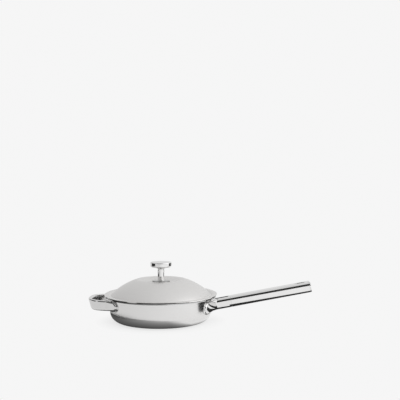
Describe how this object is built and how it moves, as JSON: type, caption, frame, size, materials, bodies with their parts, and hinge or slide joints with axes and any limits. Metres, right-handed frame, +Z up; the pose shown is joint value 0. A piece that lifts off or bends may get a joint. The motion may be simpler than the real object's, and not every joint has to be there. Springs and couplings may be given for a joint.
{
  "type": "frying pan with lid",
  "caption": "Shallow stainless frying pan with a domed lid that lifts off, a round-headed knob, a loop helper handle and a long slotted tube handle.",
  "frame": {"origin": "centre of the pan's flat underside", "axes": "+X along the long handle, +Z up out of the pan, +Y to the pan's left seen along the handle"},
  "size_m": [0.5397, 0.273, 0.1425],
  "materials": {
    "satin_steel": "fine circular brushed satin stainless steel",
    "polished_steel": "mirror-polished stainless steel",
    "cooking_steel": "satin stainless cooking surface",
    "core_aluminium": "bare aluminium layer, seen only at the lip's edge",
    "screw_steel": "plain stainless fastener"
  },
  "bodies": {
    "pan": {"pan_outer_shell": "satin_steel", "pan_core": "core_aluminium", "pan_cooking_skin": "cooking_steel", "helper_loop": "polished_steel", "helper_plate_front": "polished_steel", "helper_plate_rear": "polished_steel", "handle_fork": "polished_steel", "fork_saddle_plate": "polished_steel", "handle_tube": "polished_steel", "hanging_eyelet": "polished_steel", "handle_end_cap": "polished_steel"},
    "lid": {"lid_shell": "satin_steel", "knob_base": "polished_steel", "knob_stem": "polished_steel", "knob_head": "polished_steel", "knob_washer": "screw_steel", "knob_screw": "screw_steel"}
  },
  "joints": [
    {"name": "lid_lift", "type": "slide", "parent": "pan", "child": "lid", "axis": [0, 0, 1], "range_m": [0, 0.12]}
  ]
}
